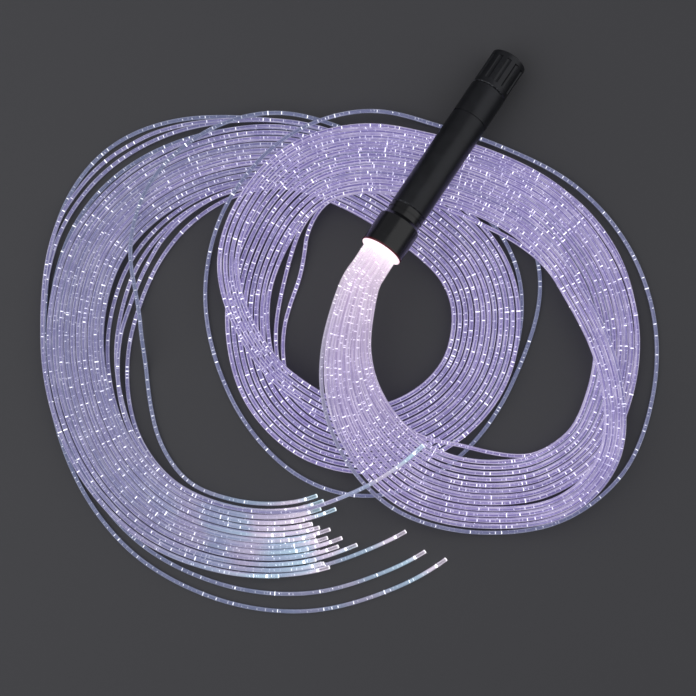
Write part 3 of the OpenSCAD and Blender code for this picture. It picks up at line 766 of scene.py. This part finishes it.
def black_anodised(colours):
    """Turned and anodised aluminium: satin black with fine lathe rings and paler worn edges."""
    material, tree, shader = surface("Black anodised aluminium", Metallic=0.55)
    place = add(tree, "ShaderNodeTexCoord").outputs["Object"]
    station = along_torch(tree)
    # Lathe rings, drawn 0.4 mm apart so that they show
    phase = add(tree, "ShaderNodeMath", {1: 2 * math.pi / 0.0004}, {0: station}, operation="MULTIPLY")
    rings = add(tree, "ShaderNodeMath", links={0: phase.outputs[0]}, operation="SINE").outputs[0]
    cloud = add(tree, "ShaderNodeTexNoise", {"Scale": 1 / 0.009, "Detail": 4.0}, {"Vector": place})
    tone = add(tree, "ShaderNodeMapRange", {1: 0.3, 2: 0.8}, {0: cloud.outputs["Fac"]}).outputs[0]
    body = add(tree, "ShaderNodeMix", {6: solid(colours.barrel), 7: solid(linear("#1C1D22"))}, {0: tone},
               data_type="RGBA").outputs[2]
    # Wear shows in flecks of about 1.5 mm along the chamfers
    fleck = add(tree, "ShaderNodeTexNoise", {"Scale": 1 / 0.0015, "Detail": 3.0}, {"Vector": place})
    worn = add(tree, "ShaderNodeMapRange", {1: 0.5, 2: 0.65, 3: 0.0, 4: 0.6},
               {0: fleck.outputs["Fac"]}).outputs[0]
    edges = [add(tree, "ShaderNodeMath", {1: middle, 2: half}, {0: station}, operation="COMPARE").outputs[0]
             for middle, half in CHAMFERS]
    on_chamfer = edges[0]
    for edge in edges[1:]:
        on_chamfer = add(tree, "ShaderNodeMath", links={0: on_chamfer, 1: edge}, operation="ADD").outputs[0]
    worn = add(tree, "ShaderNodeMath", links={0: worn, 1: on_chamfer}, operation="MULTIPLY").outputs[0]
    body = add(tree, "ShaderNodeMix", {7: solid(linear("#5B5D63"))}, {0: worn, 6: body},
               data_type="RGBA").outputs[2]
    tree.links.new(body, shader.inputs["Base Color"])
    rough = add(tree, "ShaderNodeMapRange", {1: 0.2, 2: 0.8, 3: 0.3, 4: 0.42}, {0: cloud.outputs["Fac"]})
    tree.links.new(rough.outputs[0], shader.inputs["Roughness"])
    bump_node = add(tree, "ShaderNodeBump", {"Strength": 0.1, "Distance": 0.0001}, {"Height": rings})
    tree.links.new(bump_node.outputs[0], shader.inputs["Normal"])
    return material


def turned_metal(name, colour, dark, pitch):
    """Bare turned metal: bright rings from the lathe and a faint stain."""
    material, tree, shader = surface(name, Metallic=1.0)
    place = add(tree, "ShaderNodeTexCoord").outputs["Object"]
    phase = add(tree, "ShaderNodeMath", {1: 2 * math.pi / pitch}, {0: along_torch(tree)},
                operation="MULTIPLY")
    rings = add(tree, "ShaderNodeMath", links={0: phase.outputs[0]}, operation="SINE").outputs[0]
    stain = add(tree, "ShaderNodeTexNoise", {"Scale": 1 / 0.004, "Detail": 4.0}, {"Vector": place})
    tone = add(tree, "ShaderNodeMapRange", {1: 0.35, 2: 0.75}, {0: stain.outputs["Fac"]}).outputs[0]
    body = add(tree, "ShaderNodeMix", {6: solid(linear(colour)), 7: solid(linear(dark))}, {0: tone},
               data_type="RGBA").outputs[2]
    tree.links.new(body, shader.inputs["Base Color"])
    rough = add(tree, "ShaderNodeMapRange", {1: -1.0, 2: 1.0, 3: 0.22, 4: 0.38}, {0: rings})
    tree.links.new(rough.outputs[0], shader.inputs["Roughness"])
    return material


def moulded(name, colour, spot, rough, grain):
    """Moulded plastic or rubber: a fine spark-eroded grain and a slight change of tone."""
    material, tree, shader = surface(name, IOR=1.5)
    place = add(tree, "ShaderNodeTexCoord").outputs["Object"]
    cloud = add(tree, "ShaderNodeTexNoise", {"Scale": 1 / 0.005, "Detail": 3.0}, {"Vector": place})
    body = add(tree, "ShaderNodeMix", {6: solid(linear(colour)), 7: solid(linear(spot))},
               {0: cloud.outputs["Fac"]}, data_type="RGBA").outputs[2]
    tree.links.new(body, shader.inputs["Base Color"])
    fine = add(tree, "ShaderNodeTexNoise", {"Scale": 1 / grain, "Detail": 2.0}, {"Vector": place})
    dull = add(tree, "ShaderNodeMapRange", {3: rough - 0.08, 4: rough + 0.08}, {0: fine.outputs["Fac"]})
    tree.links.new(dull.outputs[0], shader.inputs["Roughness"])
    bump_node = add(tree, "ShaderNodeBump", {"Strength": 0.25, "Distance": 0.0001},
                    {"Height": fine.outputs["Fac"]})
    tree.links.new(bump_node.outputs[0], shader.inputs["Normal"])
    return material


def lit_resin(colours):
    """Polished clear epoxy over the fibre ends: a white glow, brighter at each fibre."""
    material, tree, shader = surface("Lit clear epoxy", Roughness=0.12, IOR=1.55)
    material.cycles.emission_sampling = "NONE"
    place = add(tree, "ShaderNodeTexCoord").outputs["Object"]
    cells = add(tree, "ShaderNodeTexVoronoi", {"Scale": 1 / MOUTH_PITCH}, {"Vector": place})
    bright = add(tree, "ShaderNodeMapRange", {1: 0.2, 2: 0.7, 3: 1.3, 4: 0.8}, {0: cells.outputs["Distance"]})
    body = add(tree, "ShaderNodeMix", {6: solid(linear("#FFFFFF")), 7: solid(colours.near)},
               {0: cells.outputs["Distance"]}, data_type="RGBA").outputs[2]
    tree.links.new(body, shader.inputs["Base Color"])
    tree.links.new(body, shader.inputs["Emission Color"])
    tree.links.new(bright.outputs[0], shader.inputs["Emission Strength"])
    return material


def clear_acrylic():
    """Moulded acrylic lens: clear, with faint flow lines."""
    material, tree, shader = surface("Clear moulded acrylic", Roughness=0.04, IOR=1.49,
                                     Transmission_Weight=0.9)
    place = add(tree, "ShaderNodeTexCoord").outputs["Object"]
    flow = add(tree, "ShaderNodeTexNoise", {"Scale": 1 / 0.003, "Detail": 1.0}, {"Vector": place})
    body = add(tree, "ShaderNodeMix", {6: solid(linear("#F4F8FB")), 7: solid(linear("#DCE7EE"))},
               {0: flow.outputs["Fac"]}, data_type="RGBA").outputs[2]
    tree.links.new(body, shader.inputs["Base Color"])
    return material


def lit_led():
    """LED with yellow phosphor under its dome, lit white."""
    material, tree, shader = surface("LED phosphor under silicone", Roughness=0.2, IOR=1.41,
                                     Emission_Strength=0.8)
    place = add(tree, "ShaderNodeTexCoord").outputs["Object"]
    grain = add(tree, "ShaderNodeTexNoise", {"Scale": 1 / 0.0005, "Detail": 1.0}, {"Vector": place})
    body = add(tree, "ShaderNodeMix", {6: solid(linear("#F6F2E4")), 7: solid(linear("#EBD98A"))},
               {0: grain.outputs["Fac"]}, data_type="RGBA").outputs[2]
    tree.links.new(body, shader.inputs["Base Color"])
    tree.links.new(body, shader.inputs["Emission Color"])
    return material


def solder_mask(name, mask, copper):
    """Circuit board: solder mask over copper tracks about 0.8 mm apart."""
    material, tree, shader = surface(name, Roughness=0.35, IOR=1.5)
    place = add(tree, "ShaderNodeTexCoord").outputs["Object"]
    tracks = add(tree, "ShaderNodeTexVoronoi", {"Scale": 1 / 0.0016}, {"Vector": place},
                 feature="DISTANCE_TO_EDGE")
    line = add(tree, "ShaderNodeMapRange", {1: 0.08, 2: 0.12, 3: 1.0, 4: 0.0},
               {0: tracks.outputs["Distance"]})
    body = add(tree, "ShaderNodeMix", {6: solid(linear(mask)), 7: solid(linear(copper))},
               {0: line.outputs[0]}, data_type="RGBA").outputs[2]
    tree.links.new(body, shader.inputs["Base Color"])
    return material


def cell_sleeve():
    """Plain shrink sleeve on a cell: a blue body with a gold band at the front end."""
    material, tree, shader = surface("Shrink sleeve", Metallic=0.4, Roughness=0.3)
    place = add(tree, "ShaderNodeTexCoord").outputs["Object"]
    front = add(tree, "ShaderNodeMapRange", {1: 0.0895, 2: 0.0897, 3: 1.0, 4: 0.0}, {0: along_torch(tree)})
    fleck = add(tree, "ShaderNodeTexNoise", {"Scale": 1 / 0.001, "Detail": 2.0}, {"Vector": place})
    blue = add(tree, "ShaderNodeMix", {6: solid(linear("#2F5E93")), 7: solid(linear("#4576AD"))},
               {0: fleck.outputs["Fac"]}, data_type="RGBA").outputs[2]
    body = add(tree, "ShaderNodeMix", {7: solid(linear("#B89455"))}, {0: front.outputs[0], 6: blue},
               data_type="RGBA").outputs[2]
    tree.links.new(body, shader.inputs["Base Color"])
    return material


def studio_floor(colours):
    """Matt painted board: charcoal, with a barely seen roller texture."""
    material, tree, shader = surface("Matt painted board", Roughness=0.7)
    place = add(tree, "ShaderNodeTexCoord").outputs["Object"]
    roller = add(tree, "ShaderNodeTexNoise", {"Scale": 1 / 0.004, "Detail": 2.0}, {"Vector": place})
    deep = [0.95 * c for c in colours.floor]
    body = add(tree, "ShaderNodeMix", {6: solid(deep), 7: solid(colours.floor)},
               {0: roller.outputs["Fac"]}, data_type="RGBA").outputs[2]
    tree.links.new(body, shader.inputs["Base Color"])
    return material


def dress(material, *nodes):
    """Gives carried-over pieces their finish."""
    for name in nodes:
        mesh = FRAME["nodes"][name].data
        mesh.materials.clear()
        mesh.materials.append(material)


# Operators


class WAND_OT_camera(bpy.types.Operator):
    """Set the camera straight above the coil"""

    bl_idname = "wand.camera"
    bl_label = "Camera"

    def execute(self, context):
        data = bpy.data.cameras.new("Camera")
        data.lens = CAMERA_LENS
        data.sensor_width = 36
        camera = bpy.data.objects.new("Camera", data)
        camera.location = CAMERA_PLACE
        camera.rotation_euler = (0, 0, math.radians(CAMERA_TURN))
        context.scene.collection.objects.link(camera)
        context.scene.camera = camera
        return {"FINISHED"}


class WAND_OT_strands(bpy.types.Operator):
    """Make the glowing strands along their routes"""

    bl_idname = "wand.strands"
    bl_label = "Strands"

    def execute(self, context):
        sizes = context.scene.wand_sizes
        colours = context.scene.wand_colours
        materials = (clear_sleeve(colours), light_core(colours))
        layers = ("fibres_lower", "fibres_middle", "fibres_upper")
        for n, strand in enumerate(all_strands()):
            name = f"strand_{n + 1:02d}"
            mesh, line, length = strand_mesh(name, strand, sizes, np.random.default_rng(100 + n))
            for material in materials:
                mesh.materials.append(material)
            piece = bpy.data.objects.new(name, mesh)
            context.scene.collection.objects.link(piece)
            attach(piece, "fibre_head")
            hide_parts(layers[strand.layer])
        return {"FINISHED"}


class WAND_OT_mouth_ring(bpy.types.Operator):
    """Turn the lit ring that lines the mouth of the collar"""

    bl_idname = "wand.mouth_ring"
    bl_label = "Mouth ring"

    def execute(self, context):
        bpy.ops.object.select_all(action="DESELECT")
        radius, station = RING_PROFILE[0]
        bpy.ops.mesh.primitive_circle_add(vertices=96, radius=radius, location=(0, 0, 0))
        ring = context.active_object
        ring.name = "mouth_ring"
        bpy.ops.object.mode_set(mode="EDIT")
        bpy.ops.transform.translate(value=(0, 0, station))
        for wider, further in (*RING_PROFILE[1:], RING_PROFILE[0]):
            bpy.ops.mesh.extrude_region_move(TRANSFORM_OT_translate={"value": (0, 0, further - station)})
            bpy.ops.transform.resize(value=(wider / radius, wider / radius, 1), center_override=(0, 0, 0))
            radius, station = wider, further
        bpy.ops.mesh.select_all(action="SELECT")
        bpy.ops.mesh.remove_doubles(threshold=0.000001)
        bpy.ops.mesh.normals_make_consistent(inside=False)
        bpy.ops.object.mode_set(mode="OBJECT")
        ring.location = MOUTH
        ring.rotation_euler = AXIS.to_track_quat("Z", "Y").to_euler()
        bpy.ops.object.transform_apply(location=True, rotation=True, scale=True)
        bpy.ops.object.shade_smooth_by_angle(angle=math.radians(35))
        ring.data.materials.append(frosted_ring())
        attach(ring, "fibre_head")
        return {"FINISHED"}


class WAND_OT_torch_finishes(bpy.types.Operator):
    """Finish the collar, the barrel, the tail cap and the button"""

    bl_idname = "wand.torch_finishes"
    bl_label = "Torch finishes"

    def execute(self, context):
        colours = context.scene.wand_colours
        dress(gloss_abs(colours), "fibre_collar")
        dress(black_anodised(colours), "barrel", "tail_cap")
        dress(moulded("Silicone rubber", "#2A2A2E", "#34343A", 0.6, 0.0004), "power_button")
        dress(lit_resin(colours), "potted_end")
        return {"FINISHED"}


class WAND_OT_inner_finishes(bpy.types.Operator):
    """Finish the pieces inside the torch"""

    bl_idname = "wand.inner_finishes"
    bl_label = "Inner finishes"

    def execute(self, context):
        dress(turned_metal("Turned stainless steel", "#B9BCC2", "#8E9198", 0.0003),
              "ferrule", "grub_screws", "circlip", "carrier_contacts", "switch_retainer")
        dress(turned_metal("Turned bronze", "#A87E4C", "#7C5A34", 0.0004), "swivel_bush")
        dress(turned_metal("Turned brass", "#CDB066", "#A58544", 0.0004),
              "led_pill", "contact_plunger", "tail_contact")
        dress(moulded("Natural nylon", "#DEDACE", "#CFCABB", 0.5, 0.0004), "switch_plunger")
        dress(moulded("Black glass-filled nylon", "#1E1E21", "#28282C", 0.5, 0.0005),
              "thrust_washer", "lens_spacer", "battery_carrier", "switch_body")
        dress(moulded("Nitrile rubber", "#161617", "#1F1F21", 0.55, 0.0003), "lens_o_ring", "rear_o_ring")
        dress(clear_acrylic(), "tir_lens")
        dress(lit_led(), "led_emitter")
        dress(solder_mask("White mask on aluminium", "#E9ECEC", "#D5D8D4"), "led_board")
        dress(solder_mask("Green mask on glass epoxy", "#1B5A38", "#2C7A4C"),
              "controller_board", "switch_board")
        dress(cell_sleeve(), "aaa_cells")
        return {"FINISHED"}


class WAND_OT_stage(bpy.types.Operator):
    """Set the charcoal floor, two soft lights and the room's light"""

    bl_idname = "wand.stage"
    bl_label = "Stage"

    def execute(self, context):
        bpy.ops.object.select_all(action="DESELECT")
        bpy.ops.mesh.primitive_plane_add(size=FLOOR_SIZE, location=(0, 0, 0))
        floor = context.active_object
        floor.name = "floor"
        floor.data.materials.append(studio_floor(context.scene.wand_colours))
        middle = Vector((CAMERA_PLACE[0], CAMERA_PLACE[1], 0))
        for name, shift, size, power in SOFTBOXES:
            data = bpy.data.lights.new(name, "AREA")
            data.energy = power
            data.size = size
            lamp = bpy.data.objects.new(name, data)
            lamp.location = middle + Vector(shift)
            lamp.rotation_euler = Vector(shift).to_track_quat("Z", "Y").to_euler()
            context.scene.collection.objects.link(lamp)
        world = bpy.data.worlds.new("Room")
        world.use_nodes = True
        back = world.node_tree.nodes["Background"]
        back.inputs["Color"].default_value = solid(linear("#F2F3F6"))
        back.inputs["Strength"].default_value = ROOM_LIGHT
        context.scene.world = world
        context.scene.view_settings.view_transform = "Standard"
        return {"FINISHED"}


class WAND_PT_panel(bpy.types.Panel):
    """Lists the wand's operators, sizes and colours."""

    bl_label = "Fibre optic wand"
    bl_idname = "WAND_PT_panel"
    bl_space_type = "VIEW_3D"
    bl_region_type = "UI"
    bl_category = "Wand"

    def draw(self, context):
        for operator in OPERATORS:
            self.layout.operator(operator.bl_idname)
        for group in (context.scene.wand_sizes, context.scene.wand_colours):
            for name in group.bl_rna.properties.keys():
                if name not in {"rna_type", "name"}:
                    self.layout.prop(group, name)


OPERATORS = (
    WAND_OT_camera,
    WAND_OT_strands,
    WAND_OT_mouth_ring,
    WAND_OT_torch_finishes,
    WAND_OT_inner_finishes,
    WAND_OT_stage,
)
CLASSES = (WandSizes, WandColours, *OPERATORS, WAND_PT_panel)


def register():
    for cls in CLASSES:
        bpy.utils.register_class(cls)
    bpy.types.Scene.wand_sizes = PointerProperty(type=WandSizes)
    bpy.types.Scene.wand_colours = PointerProperty(type=WandColours)


def unregister():
    del bpy.types.Scene.wand_colours
    del bpy.types.Scene.wand_sizes
    for cls in reversed(CLASSES):
        bpy.utils.unregister_class(cls)


def main():
    register()
    bpy.ops.wand.camera()
    bpy.ops.wand.strands()
    bpy.ops.wand.mouth_ring()
    bpy.ops.wand.torch_finishes()
    bpy.ops.wand.inner_finishes()
    bpy.ops.wand.stage()


if __name__ == "__main__":
    main()
